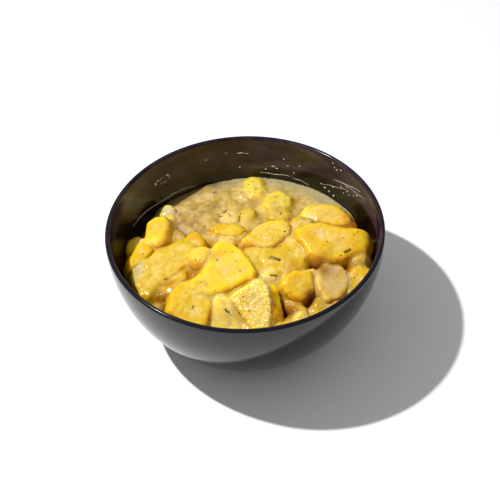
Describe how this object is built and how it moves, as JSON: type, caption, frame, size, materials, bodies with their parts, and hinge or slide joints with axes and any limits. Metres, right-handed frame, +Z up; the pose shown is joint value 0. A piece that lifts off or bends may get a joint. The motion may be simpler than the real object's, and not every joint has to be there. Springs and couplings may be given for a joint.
{
  "type": "potato salad in a bowl",
  "caption": "Warm potato salad: cut potato pieces and onion heaped in a creamy dressing, in a round black bowl on a foot ring.",
  "frame": {"origin": "centre of the bowl's foot, on the surface that it stands on", "axes": "+Z up along the bowl's axis, -Y towards the front of the heap"},
  "size_m": [0.16, 0.16, 0.072],
  "materials": {
    "bowl_glaze": "glossy black with a faint purple cast",
    "dressing": "wet, creamy, slightly translucent",
    "potato": "boiled yellow potato, moist, with a fine floury grain",
    "onion": "cooked onion, pale and translucent, wet",
    "chive": "cut chives, dark green",
    "pepper": "ground black pepper"
  },
  "bodies": {
    "root": {"bowl": "bowl_glaze", "dressing": "dressing", "potato_heap": "potato"}
  },
  "joints": []
}
